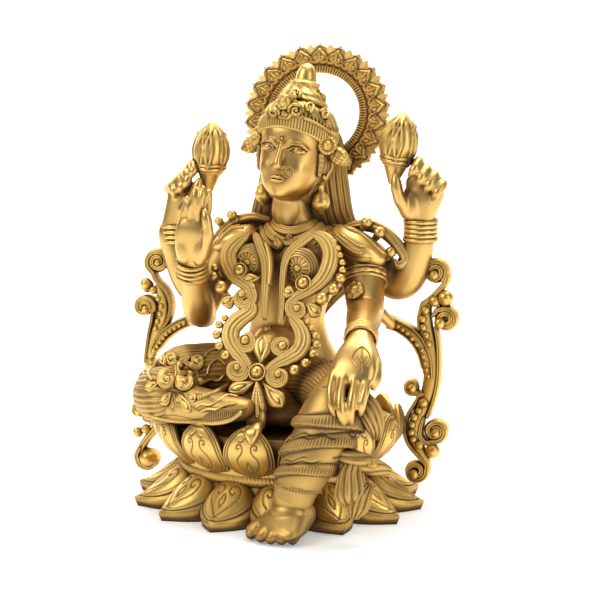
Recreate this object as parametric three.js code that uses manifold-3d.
// A seated four-armed goddess on an open lotus, cast in brass, with a petalled halo and two side scrolls.
// Millimetres, +Z up. The figure faces -Y, so its left side is at +X.
// The origin is the middle of the lotus's flat underside, on the surface that it stands on.

import * as THREE from 'three';
import { mergeVertices } from 'three/addons/utils/BufferGeometryUtils.js';
import Module from 'manifold-3d';

const wasm = await Module();
wasm.setup();

// Driving dimensions

const clearance = 0.3;            // joint between two pieces that are fixed together

const petalCount = 14;            // in each of the two rows
const petalTurn = -100;           // degrees; where the foremost lower petal points
const lotusRadius = 124;          // tips of the lower petals at the sides
const lotusDepth = 110;           // the same at the front and back; the whole lotus is oblong
const lowerPetalWidth = 46;
const lowerPetalRise = 36;        // top of the lower petals at the filaments
const lowerPetalEdge = 10;        // their thickness at the tip
const cupFoot = 80;               // radius at the bottom of the cup
const cupRadius = 107;            // radius at the tips of the upright petals
const cupTop = 84;                // height of those tips
const cupPetalWidth = 40;
const cupPetalThickness = 11;
const seatDrop = 14;              // the sunk seat inside the cup, below those tips
const seatHeight = cupTop - seatDrop;
const seatRadius = 92;

const figureHeight = 366;         // top of the crown above the ground

// The halo's sizes grow with the figure
const haloRadius = 65;            // half its width at the tips
const haloRise = 61;              // half its height
const haloLean = 12;              // degrees backwards
const haloHole = 38;
const haloThickness = 5;
const haloPetals = 22;
const haloTipLength = 6;
const haloHeartHeight = 2.2;
const haloBehind = 50;            // from the middle of the head back to the halo's middle
const haloAbove = 34.3;           // and up

const scrollTop = 207;            // top of the side scrolls above the ground
const scrollReach = 145;          // their farthest point from the middle
const scrollBand = 3.4;           // half the width of a scroll's band
const scrollDepth = 4.6;          // half its depth
const scrollBead = 4.4;           // radius of the beads along it
const scrollSetBack = 30;         // behind the middle of the lotus

// Small helpers

const turned = degrees => degrees * Math.PI / 180;
const vector = (x, y, z) => new THREE.Vector3(x, y, z);
const forward = vector(0, -1, 0);
const upward = vector(0, 0, 1);

// The solid that a closed geometry bounds, with its shared corners merged.
function solid(geometry) {
  const bare = geometry.clone();
  bare.deleteAttribute('normal');
  bare.deleteAttribute('uv');
  const merged = mergeVertices(bare, 1e-4);
  const place = merged.attributes.position;
  const corner = merged.index.array;
  const faces = [];
  let volume = 0;
  const [a, b, c] = [vector(), vector(), vector()];
  for (let i = 0; i < corner.length; i += 3) {
    const [p, q, r] = corner.slice(i, i + 3);
    if (p === q || q === r || r === p) continue;
    faces.push([p, q, r]);
    a.fromBufferAttribute(place, p);
    b.fromBufferAttribute(place, q);
    c.fromBufferAttribute(place, r);
    volume += a.dot(b.cross(c));
  }
  const triVerts = Uint32Array.from(faces.flatMap(face => volume < 0 ? face.reverse() : face));
  const vertProperties = Float32Array.from(place.array);
  return new wasm.Manifold(new wasm.Mesh({ numProp: 3, vertProperties, triVerts }));
}

const fuse = solids => solids.reduce((whole, next) => whole.add(next));

function meshOf(name, body, material) {
  const { vertProperties, triVerts } = body.getMesh();
  const geometry = new THREE.BufferGeometry();
  geometry.setAttribute('position', new THREE.BufferAttribute(vertProperties, 3));
  geometry.setIndex(new THREE.BufferAttribute(triVerts, 1));
  const mesh = new THREE.Mesh(geometry, material);
  mesh.name = name;
  return mesh;
}

// An oval ring of points around a middle. A box section keeps its flat sides at the half sizes, and
// one with more sides encloses the same area as the true oval.
function oval(middle, widthWay, depthWay, halfWidth, halfDepth, sides) {
  const step = 2 * Math.PI / sides;
  const swell = sides === 4 ? Math.SQRT2 : Math.sqrt(step / Math.sin(step));
  return Array.from({ length: sides }, (_, i) => middle.clone()
    .addScaledVector(widthWay, swell * halfWidth * Math.cos((i + 0.5) * step))
    .addScaledVector(depthWay, swell * halfDepth * Math.sin((i + 0.5) * step)));
}

// Points of a curl that winds inwards, in a plane given by its two directions.
function curl(centre, first, second, outer, inner, startDegrees, turns, steps) {
  return Array.from({ length: steps + 1 }, (_, i) => {
    const along = i / steps;
    const radius = outer + (inner - outer) * along;
    const angle = turned(startDegrees + 360 * turns * along);
    return centre.clone()
      .addScaledVector(first, radius * Math.cos(angle))
      .addScaledVector(second, radius * Math.sin(angle));
  });
}

// The shapes that every piece is made of. A margin makes each of them that much fatter all round,
// which gives the room that a neighbour leaves around the piece.
function shapes(margin) {

  // A skin over rings of points, closed at both ends: a cylinder whose points are moved to the rings.
  function loft(rings) {
    const sides = rings[0].length;
    const spans = rings.length - 1;
    const middles = rings.map(ring =>
      ring.reduce((sum, point) => sum.add(point), vector(0, 0, 0)).divideScalar(sides));
    const fatter = (point, level) => {
      const out = point.clone().sub(middles[level]);
      const length = out.length();
      return point.clone().addScaledVector(out, length > 0.01 ? margin / length : 0);
    };
    const endShift = level => {
      if (level !== 0 && level !== spans) return vector(0, 0, 0);
      const inner = level === 0 ? 1 : spans - 1;
      return middles[level].clone().sub(middles[inner]).setLength(margin);
    };
    const geometry = new THREE.CylinderGeometry(1, 1, spans, sides, spans);
    const place = geometry.attributes.position;
    for (let i = 0; i < place.count; i++) {
      const level = Math.round(spans / 2 - place.getY(i));
      const turn = Math.atan2(place.getX(i), place.getZ(i)) / (2 * Math.PI);
      const side = Math.round(turn * sides + sides) % sides;
      const central = Math.hypot(place.getX(i), place.getZ(i)) < 0.5;
      const point = central ? middles[level].clone() : fatter(rings[level][side], level);
      point.add(endShift(level));
      place.setXYZ(i, point.x, point.y, point.z);
    }
    return solid(geometry);
  }

  // A limb, band or stalk through stations of [middle, half width, half depth]. Its depth faces front.
  function limb(stations, { front = forward, sides = 6 } = {}) {
    const path = new THREE.CatmullRomCurve3(stations.map(([middle]) => middle));
    const last = stations.length - 1;
    return loft(stations.map(([middle, width, depth = width], i) => {
      const along = path.getTangent(i / last);
      const depthWay = front.clone().addScaledVector(along, -front.dot(along)).normalize();
      return oval(middle, depthWay.clone().cross(along), depthWay, width, depth, sides);
    }));
  }

  const band = (points, halfWidth, halfDepth, options) =>
    limb(points.map(point => [point, halfWidth, halfDepth]), { sides: 4, ...options });

  function ball(middle, radii, { sides = 6, levels = 4, tilt = 0 } = {}) {
    const [x, y, z] = [].concat(radii, radii, radii);
    const geometry = new THREE.SphereGeometry(1, sides, levels);
    geometry.rotateX(Math.PI / 2);
    geometry.scale(x + margin, y + margin, z + margin);
    geometry.rotateY(tilt);
    geometry.translate(middle.x, middle.y, middle.z);
    return solid(geometry);
  }

  function bead(middle, radius) {
    const geometry = new THREE.OctahedronGeometry(radius * 1.25 + margin, 0);
    geometry.translate(middle.x, middle.y, middle.z);
    return solid(geometry);
  }

  // A turned form on an axis that starts at foot, from [height, radius] pairs.
  function turnedForm(foot, axis, profile, sides) {
    const widthWay = vector(1, 0, 0).addScaledVector(axis, -axis.x).normalize();
    const depthWay = axis.clone().cross(widthWay);
    return loft(profile.map(([height, radius]) =>
      oval(foot.clone().addScaledVector(axis, height), widthWay, depthWay, radius, radius, sides)));
  }

  // A pointed leaf from root to tip, widest past its middle.
  function leaf(root, tip, halfWidth, halfDepth, front = forward) {
    const along = share => root.clone().lerp(tip, share);
    return limb([[root, halfWidth * 0.4, halfDepth * 0.7], [along(0.45), halfWidth, halfDepth],
      [along(0.8), halfWidth * 0.75, halfDepth * 0.8], [tip, 0.6, 0.6]], { front, sides: 4 });
  }

  return { loft, limb, band, ball, bead, turnedForm, leaf };
}

// The open lotus: a core with a sunk seat, a row of thick petals on the ground and an upright row above.
function lotus(margin) {
  const { loft } = shapes(margin);
  const oblong = ring => ring.map(point => point.setY(point.y * lotusDepth / lotusRadius));
  const core = loft([[0, lotusRadius * 0.76], [lowerPetalRise, cupFoot], [seatHeight, seatRadius]]
    .map(([z, radius]) => oblong(oval(vector(0, 0, z), vector(1, 0, 0), vector(0, 1, 0), radius, radius,
      petalCount))));

  // A petal's rings cross its midrib; each is an arch over a flat or hollow back.
  const arch = (middle, across, over, halfWidth, edge, crown, back) =>
    oblong([[-1, back], [-1, edge], [0, crown], [1, edge], [1, back]].map(([side, rise]) =>
      middle.clone().addScaledVector(across, side * halfWidth).addScaledVector(over, rise)));
  const ways = turn => [vector(Math.cos(turn), Math.sin(turn), 0),
    vector(-Math.sin(turn), Math.cos(turn), 0)];

  const lowerPetal = turn => {
    const [out, across] = ways(turn);
    const root = cupFoot - 8;
    const form = [[0, 0.6, 1], [0.6, 1, 0.44], [0.84, 0.5, 0.12], [1, 0.02, 0]];
    return loft(form.map(([along, wide, rise]) => {
      const height = lowerPetalEdge + (lowerPetalRise - lowerPetalEdge) * rise;
      const edge = lowerPetalEdge + (height - lowerPetalEdge) * 0.45;
      const middle = out.clone().multiplyScalar(root + (lotusRadius - root) * along);
      return arch(middle, across, upward, lowerPetalWidth / 2 * wide, edge * 0.9, height, 0);
    }));
  };

  const cupPetal = turn => {
    const [out, across] = ways(turn);
    const foot = lowerPetalRise - 2;
    const form = [[0, 0.5, 0], [0.36, 0.97, 0.74], [0.68, 0.94, 1], [1, 0.04, 1]];
    return loft(form.map(([along, wide, flare]) => {
      const radius = cupFoot - cupPetalThickness + (cupRadius - cupFoot) * flare;
      const middle = out.clone().multiplyScalar(radius).setZ(foot + (cupTop - foot) * along);
      const crown = cupPetalThickness * (0.5 + 0.5 * wide);
      return arch(middle, across, out, cupPetalWidth / 2 * wide, crown * 0.5, crown, crown * 0.1);
    }));
  };

  const petals = [];
  for (let i = 0; i < petalCount; i++) {
    petals.push(lowerPetal(turned(petalTurn + i * 360 / petalCount)));
    petals.push(cupPetal(turned(petalTurn + (i + 0.5) * 360 / petalCount)));
  }
  return fuse([core, ...petals]);
}

// The figure's pose and proportions are shares of its height above the seat, written as millimetres on
// a figure that rises 296 above a seat at 70. Below the seat, heights follow the seat.
const drawnSeat = 70;
const share = (figureHeight - seatHeight) / 296;
const at = (x, y, z) => vector(x * share, y * share,
  z < drawnSeat ? z * seatHeight / drawnSeat : seatHeight + (z - drawnSeat) * share);
const size = drawn => drawn * share;
const scaled = stations => stations.map(([x, y, z, width, depth = width]) =>
  [at(x, y, z), size(width), size(depth)]);
const through = points => points.map(point => at(...point));

// The head leans back a little and turns to the figure's right; its own frame is around its middle.
const headMiddle = at(7, 21, 286);
const headTurn = new THREE.Euler(turned(-7), turned(6), turned(-6), 'ZYX');
const inHead = (x, y, z) => vector(x, y, z).multiplyScalar(share).applyEuler(headTurn).add(headMiddle);
const headFront = vector(0, -1, 0).applyEuler(headTurn);

// The garland falls forwards from the shoulders to the lap, in a plane that leans out.
const garlandLean = 0.476;
const garlandFront = vector(0, -1, garlandLean).normalize();
const onGarland = (x, z) => at(x, -10 - (225 - z) * garlandLean, z);

function trunk({ limb, ball }) {
  const seated = [[2, 23, 114, 46, 31], [2, 20, 136, 36, 25], [2, 19, 152, 33, 23], [2, 20, 170, 37, 24],
    [4, 22, 190, 46, 27], [8, 25, 206, 54, 26], [9, 27, 218, 48, 21], [6, 27, 231, 20, 15],
    [5, 22, 264, 15, 15]];
  const underneath = [vector(size(2), size(24), seatHeight + clearance), size(54), size(38)];
  return [
    limb([underneath, ...scaled(seated)], { sides: 10 }),
    ...[-18, 26].map(x => ball(at(x, 0, 201), size(17.5), { sides: 7 })),
    ball(at(14, -22, 86), [size(42), size(40), size(15)]),
  ];
}

function headAndCrown({ limb, band, ball, turnedForm, leaf }) {
  const profile = [
    [-33, -7, 9, 8], [-26, -7, 18, 16], [-12, -4, 25.5, 25], [5, 0, 28, 29], [18, 1, 29, 30],
    [21, 2, 34, 34], [34, 2, 34, 34], [43, 2, 27, 28], [49, 2, 17, 18], [61, 2, 9.5, 10], [71, 2, 9, 9], [79, 2, 1.5, 1.5],
  ];
  const headPart = { front: headFront, sides: 4 };
  const earring = [[-12, 2], [-5, 7.5], [2, 5], [14, 4]].map(([z, radius]) => [size(z), size(radius)]);
  const paired = make => [-1, 1].map(make);
  return [
    limb(profile.map(([z, y, width, depth]) => [inHead(0, y, z), size(width), size(depth)]),
      { front: headFront, sides: 10 }),
    // The nose ends a third of the way up from the chin to the hairline, and the lips lie a third below it
    limb([[inHead(0, -26, 7), size(1.6), size(3)], [inHead(0, -27.5, -10), size(4), size(5)]], headPart),
    ball(inHead(0, -23.5, -18), [size(7), size(3.6), size(2.8)], { levels: 3 }),
    leaf(inHead(0, -31, 24), inHead(0, -28, 53), size(11), size(5), headFront),
    ball(inHead(32, -7, 14), [size(6), size(8), size(8)], { sides: 5, levels: 3 }),
    leaf(inHead(28, 0, 8), inHead(46, 2, 3), size(6), size(5), headFront),
    ...paired(side => turnedForm(inHead(side * 26, 6, -30), upward, earring, 5)),
    limb(scaled([[9, 36, 318, 22, 14], [10, 42, 288, 35, 20], [9, 42, 256, 40, 20], [8, 43, 222, 48, 14],
      [5, 45, 182, 40, 11], [2, 43, 122, 5, 4]]), { sides: 7 }),
    band(through([[-31, 16, 231], [-14, 1, 219], [24, 1, 219], [42, 16, 231]]), size(4.6), size(4.6)),
    leaf(at(4, -1, 222), at(4, -8, 203), size(7), size(4.5)),
  ];
}

function arms({ limb, bead, turnedForm }) {
  // Stations of a wrist with a thick round of bangles in their middle
  const bangles = (from, to, radius) => [0, 0.25, 0.4, 0.75, 0.9].map((way, i) =>
    [from.clone().lerp(to, way), size(radius + (i === 2 || i === 3 ? 2.4 : 0))]);
  const finger = (points, radius) =>
    limb(points.map((point, i) => [at(...point), size(radius * (1 - 0.15 * i))]),
      { sides: 4, front: vector(0.1, -1, 0.2) });

  // Lotus buds, held upright by their stalks
  const budProfile = [[0, 4], [18, 10.5], [21, 13], [31, 15], [41, 13.6], [50, 9], [59, 0.8]];
  const bud = (foot, tip) => turnedForm(foot, tip.clone().sub(foot).normalize(),
    budProfile.map(([z, radius]) => [size(z), size(radius)]), 7);

  // Front right arm, its palm raised to the viewer
  const fingersUp = [[-66.5, -62, 256], [-59.2, -53, 272], [-51.9, -46, 268], [-44.6, -41, 262]];
  const right = [
    limb(scaled([[-32, 26, 211, 16], [-52, 18, 203, 17.5], [-61, 0, 180, 15.5], [-64, -12, 158, 12]]),
      { front: vector(1, -1, 0) }),
    limb([...scaled([[-64, -4, 151, 8], [-64, -16, 160, 13.5]]),
      ...bangles(at(-60.5, -32.5, 184), at(-57, -43, 200), 10.5),
      ...scaled([[-56, -50, 211, 15, 9], [-57, -53, 224, 15.5, 8], [-56, -54, 234, 14, 5]])]),
    ...fingersUp.map(([root, tip, high]) => finger([[root, -54, 228], [tip, -51, high]], 3.4)),
    limb(scaled([[-45, -50, 206, 5], [-38, -54, 232, 4.4], [-37, -54, 252, 3]]), { sides: 4 }),
  ];

  // Front left arm, resting on the knee with the fingers down
  const fingersDown = [[76.5, 77.5, 99], [84, 84, 94], [91.5, 90.5, 95], [99, 97, 100]];
  const left = [
    limb([...scaled([[48, 26, 213, 15], [66, 20, 207, 18], [71, 9, 188, 17.5], [76, -8, 167, 15.5]]),
      ...bangles(at(80, -28, 160), at(87, -58, 154), 11.5),
      ...scaled([[88, -70, 147, 17.5, 9], [89, -83, 136, 18.5, 8], [88, -91, 124, 16, 6]])],
      { front: vector(0, -1, 1) }),
    ...fingersDown.map(([root, tip, low]) => finger([[root, -88, 129], [tip, -100, low]], 3.4)),
    finger([[97, -62, 146], [104, -87, 119]], 4.4),
    bead(at(58, 2, 182), size(8)),
  ];

  // A back arm bends up from the elbow; its curled fingers hold a bud
  const backArm = (shoulder, elbow, wrist) => limb([
    [shoulder, size(15)], [shoulder.clone().lerp(elbow, 0.6), size(15)],
    [elbow.clone().add(vector(0, 0, size(-5))), size(13)], [elbow.clone().lerp(wrist, 0.3), size(13)],
    ...bangles(elbow.clone().lerp(wrist, 0.72), wrist, 10.5)]);
  const fist = (wrist, side, lean, knuckles) => [
    limb([[wrist.clone().add(vector(0, 0, size(-3))), size(10), size(9)],
      [wrist.clone().add(vector(size(lean * 0.5), size(-2), size(18))), size(13), size(9)],
      [wrist.clone().add(vector(size(lean), size(-4), size(38))), size(15), size(9)],
      [wrist.clone().add(vector(size(lean - 20 * side), size(-4), size(52))), size(9), size(8)],
    ]),
    ...knuckles.map(([x, z]) => finger([[x + side, 14, z - 1], [x - 5 * side, 4, z + 2]], 4.4)),
  ];
  const rightBack = [
    backArm(at(-38, 34, 208), at(-78, 27, 172), at(-104, 22, 221)),
    ...fist(at(-104, 22, 220), -1, 12, [[-103, 259], [-97, 266], [-90, 273.5], [-82, 281]]),
    finger([[-96, 12, 242], [-76, 6, 262]], 4.8),
    bud(at(-67, 18, 258), at(-63, 18, 320)),
  ];
  const leftBack = [
    backArm(at(58, 35, 208), at(94, 28, 184), at(117, 22, 238)),
    ...fist(at(117, 22, 237), 1, 3, [[131, 268], [125, 276], [117, 283], [108, 289]]),
    finger([[116, 13, 254], [98, 6, 275]], 4.8),
    bud(at(92, 18, 268), at(101, 18, 327)),
  ];
  return [...right, ...left, ...rightBack, ...leftBack];
}

function legsAndCloth({ limb, band, ball, leaf }) {
  const outward = vector(0.35, -0.8, 0.5);
  const toes = [[14, -111, 5], [24, -117, 4.3], [33, -119, 4.3], [42, -119, 4.1], [51, -116, 3.9]];
  return [
    limb(scaled([[24, 12, 96, 28, 24], [46, -20, 103, 28, 24], [66, -54, 108, 25, 22],
      [77, -78, 104, 20, 17]]), { front: upward, sides: 7 }),
    // The shin's cloth is gathered in three raised hems
    limb(scaled([[77, -76, 113, 20, 16], [73, -83, 99, 26, 20], [71, -86, 93, 29, 23],
      [69, -87, 88, 25.5, 19], [63, -91, 77, 25.5, 19], [61, -92, 72, 28.5, 22], [59, -93, 67, 24, 18],
      [53, -94, 57, 22.5, 18], [51, -94, 52, 25, 21], [48, -95, 46, 20, 17], [43, -96, 34, 17, 16.5],
      [42, -96, 10, 16, 17]]), { sides: 8 }),
    limb(scaled([[46, -84, 14.5, 14, 12], [41, -101, 14.5, 19, 12], [33, -117, 8, 22, 6]]),
      { front: upward }),
    ...toes.map(([x, y, radius]) =>
      limb(scaled([[x + 3, y + 12, radius + 1, radius], [x, y - 8, radius + 0.5, radius * 0.8]]),
        { front: upward, sides: 4 })),
    limb(scaled([[-16, 14, 98, 27, 30], [-48, -6, 101, 31, 32], [-76, -19, 100, 31, 33],
      [-98, -24, 100, 25, 27], [-111, -23, 100, 13, 15]]), { sides: 8 }),
    limb(scaled([[-95, -36, 94, 20, 20], [-76, -54, 92, 20, 23], [-48, -68, 91, 14, 17],
      [-22, -77, 91, 10, 13], [0, -82, 90, 6, 8]])),
    // Curled ornament on the knee, and a loose skirt edge that hangs over the cup in points
    ball(at(-80, -58, 107), [size(17), size(8), size(11)]),
    band(through([[-93, -50, 80], [-78, -67, 79], [-40, -84, 90]]), size(4.5), size(6)),
    ...[[-92, -50], [-77, -65]].map(([x, y]) =>
      leaf(at(x, y + 10, 86), at(x - 1, y - 2, 60), size(8), size(5), vector(-0.5, -1, 0))),
    // Cloth that falls from the shin over the petals
    limb(scaled([[62, -92, 70, 8, 7], [79, -94, 56, 15, 10], [90, -95, 41, 22, 12], [95, -99, 27, 24, 10],
      [93, -102, 16, 14, 6]]), { front: outward }),
    limb(scaled([[90, -84, 112, 8, 9], [102, -88, 101, 9, 8], [107, -86, 86, 6, 6]]), { sides: 5 }),
  ];
}

// The garland and capes: double bands from each shoulder into a curl, lower bands that meet at a flower,
// and a tongue from the flower down to the cup
function garland({ limb, band, ball, bead, turnedForm, leaf }) {
  const across = vector(1, 0, 0);
  const upSlope = garlandFront.clone().cross(across);
  const flat = pairs => pairs.map(([x, z]) => onGarland(x, z));
  const curledBand = (pairs, curlAt, start, turns) => band([...flat(pairs),
    ...curl(onGarland(...curlAt), across, upSlope, size(9), size(4), start, turns, 3)],
  size(4.4), size(3.2), { front: garlandFront });
  const strap = pairs => band(flat(pairs), size(3), size(2.6), { front: garlandFront });
  const petal = (root, tip, halfWidth) =>
    leaf(onGarland(...root), onGarland(...tip), size(halfWidth), size(3.5), garlandFront);
  const beadRow = ([x1, z1], [x2, z2], bulge, count, radius) => Array.from({ length: count }, (_, i) => {
    const way = i / (count - 1);
    const x = x1 + (x2 - x1) * way + bulge * Math.sin(Math.PI * way);
    return bead(onGarland(x, z1 + (z2 - z1) * way), size(radius));
  });
  const flower = [[0, 7.5], [5, 7.5], [9, 2.5]].map(([z, radius]) => [size(z), size(radius)]);
  return [
    curledBand([[34, 227], [54, 217], [56, 194], [43, 181], [28, 179]], [28, 170], 90, 0.75),
    curledBand([[-20, 229], [-35, 213], [-35, 196], [-20, 186]], [-20, 177], 90, -0.75),
    curledBand([[23, 164], [35, 157], [40, 147], [36, 136], [20, 130]], [19, 121], 90, -0.75),
    curledBand([[-14, 171], [-27, 163], [-31, 152], [-28, 141], [-17, 131]], [-17, 122], 90, 0.75),
    strap([[30, 228], [11, 208], [12, 184], [24, 163]]),
    strap([[-18, 229], [-7, 206], [-5, 186], [3, 138]]),
    petal([3, 124], [4, 152], 8.5),
    petal([3, 120], [-22, 107], 7),
    petal([3, 120], [25, 101], 7),
    turnedForm(onGarland(3, 121).addScaledVector(garlandFront, size(-3)), garlandFront, flower, 6),
    limb(scaled([[3, -62, 116, 8, 5], [5, -77, 97, 10, 5], [9, -92, 84, 8, 6], [10, -98, 72, 7, 5]]),
      { front: garlandFront, sides: 4 }),
    ...beadRow([60, 204], [47, 180], 3, 3, 4.8),
    ...beadRow([44, 154], [36, 130], 3, 3, 4.6),
    ...beadRow([-38, 201], [-36, 190], 0, 2, 5),
    ...beadRow([-35, 158], [-29, 135], 0, 3, 4.6),
    // Capes over the shoulders, each with a wing behind it
    ball(at(67, 8, 217), [size(26), size(16), size(11)], { tilt: turned(30) }),
    limb(scaled([[56, 20, 228, 8, 7], [78, 18, 229, 10, 8], [93, 17, 221, 10, 8], [104, 15, 206, 6, 6]]),
      { sides: 5 }),
    ball(at(-42, 12, 218), [size(21), size(16), size(10)], { tilt: turned(-25) }),
    limb(scaled([[-16, 24, 232, 7, 6], [-34, 20, 233, 9, 7], [-50, 18, 228, 8, 7], [-60, 14, 218, 5, 5]]),
      { sides: 5 }),
  ];
}

function goddess(margin) {
  const kit = shapes(margin);
  return fuse([...trunk(kit), ...headAndCrown(kit), ...arms(kit), ...legsAndCloth(kit), ...garland(kit)]);
}

// The halo: a flat ring with a row of heart-shaped petals and pointed tips, on a lug behind the head.
const haloMiddle = vector(5, haloBehind, haloAbove).multiplyScalar(share).add(headMiddle);

function halo() {
  const outline = new THREE.Shape();
  const tips = haloPetals * 2;
  const step = 2 * Math.PI / tips;
  const point = (radius, turn) => [radius * Math.sin(turn), -radius * Math.cos(turn)];
  for (let i = 0; i < tips; i++) {
    if (i === 0) outline.moveTo(...point(haloRadius, 0));
    else outline.lineTo(...point(haloRadius, i * step));
    outline.lineTo(...point(haloRadius - haloTipLength, (i + 0.5) * step));
  }
  outline.closePath();
  const hole = new THREE.Path();
  hole.absarc(0, 0, haloHole, 0, 2 * Math.PI, true);
  outline.holes.push(hole);
  const plate = new THREE.ExtrudeGeometry(outline,
    { depth: haloThickness, bevelEnabled: false, curveSegments: 12 });
  plate.rotateX(Math.PI / 2);
  plate.translate(0, haloThickness / 2, 0);

  const { limb, turnedForm } = shapes(0);
  const heartRing = (haloRadius - haloTipLength + haloHole) / 2 + 1;
  const hearts = Array.from({ length: haloPetals }, (_, i) => {
    const [x, z] = point(heartRing, (i + 0.5) * 2 * step);
    const heart = [[0, 5.6], [haloHeartHeight + 0.5, 2.6]];
    return turnedForm(vector(x, 0.5 - haloThickness / 2, z), forward, heart, 4);
  });
  const ring = fuse([solid(plate), ...hearts]).scale([share, share, size(haloRise / haloRadius)])
    .rotate([-haloLean, 0, 0]).translate(haloMiddle.toArray());

  // The lug joins the ring's lowest part to the hair
  const low = size((haloRadius + haloHole) / 2 * haloRise / haloRadius);
  const lean = turned(haloLean);
  const foot = haloMiddle.clone().add(vector(0, -low * Math.sin(lean), -low * Math.cos(lean)));
  const inHair = foot.clone().setY(headMiddle.y + size(20));
  const lug = limb([[foot, size(9), size(7)], [inHair, size(9), size(7)]], { front: upward, sides: 4 });
  return ring.add(lug);
}

// A side scroll: a flat beaded stem that parts in two above, with curls at its ends.
// It is drawn at the figure's left, from its foot on the petals up to its topmost curl.
function scroll(side) {
  const { limb, band, bead } = shapes(0);
  const grown = scrollTop / 207;
  // The foot of the figure's right scroll stands farther out
  const splay = z => side < 0 ? 28 * Math.max(0, 1 - z / 115) : 0;
  const place = (x, z) =>
    vector(side * (scrollReach + (x - 145 + splay(z)) * grown), scrollSetBack, z * grown);
  const across = vector(side, 0, 0);
  const strip = stations =>
    limb(stations.map(([x, z, wide]) => [place(x, z), wide * grown, scrollDepth]), { sides: 4 });
  const coil = (x, z, radius, start, turns, steps) => band(curl(place(x, z), across, upward,
    radius * grown - scrollBand, scrollBand, start, turns, steps), scrollBand, scrollDepth);
  const elbow = side > 0 ? at(80, 16, 158) : at(-72, 14, 156);
  const branch = strip([[108, 140, 5], [117, 128, 6.5]]).add(
    limb([[elbow, 5, 5], [elbow.clone().lerp(place(108, 140), 0.6).add(vector(0, 6, 2)), 5.5, 5],
      [place(111, 137), 5.5, scrollDepth]], { sides: 4 }));
  const stem = strip([[121, 132, 7], [120, 108, 7.5], [115, 92, 7.5], [109, 76, 7.5], [108, 60, 7],
    [113, 45, 5.5], [118, 28, 4.5]]);
  const upper = strip([[121, 122, 6], [121, 136, 6.5], [115, 150, 6.5], [114, 163, 5.5], [123, 177, 4.4],
    [134, 191, 3.4]]);
  const beadPlaces = [[131, 176, 1.4], [120, 163, 1], [104, 70, 1], [106, 56, 1], [121, 45, 1.4]];
  const beads = beadPlaces.map(([x, z, fatness]) =>
    bead(place(x, z).setY(scrollSetBack - scrollDepth * 0.4), scrollBead * fatness));
  const footing = strip([[108, 20, 6], [94, 24, 6]]);
  return fuse([branch, stem, upper, coil(124, 194, 14, -30, 0.95, 7), coil(132, 155, 15, 200, -0.95, 7),
    coil(125, 64, 12.5, 190, 0.95, 6), coil(107, 98, 8, -20, 0.75, 4), coil(107, 25, 13, 30, -0.95, 6),
    ...beads, footing]);
}

const brass = () => new THREE.MeshStandardMaterial({ color: 0xc79a4e, roughness: 0.36, metalness: 1 });

const roomForGoddess = goddess(clearance);
const roomForLotus = lotus(clearance);

const idol = new THREE.Group();
idol.add(meshOf('lotus_base', lotus(0).subtract(roomForGoddess), brass()));
idol.add(meshOf('goddess', goddess(0), brass()));
idol.add(meshOf('halo', halo().subtract(roomForGoddess), brass()));
idol.add(meshOf('scroll_right', scroll(-1).subtract(roomForGoddess).subtract(roomForLotus), brass()));
idol.add(meshOf('scroll_left', scroll(1).subtract(roomForGoddess).subtract(roomForLotus), brass()));

export default idol;
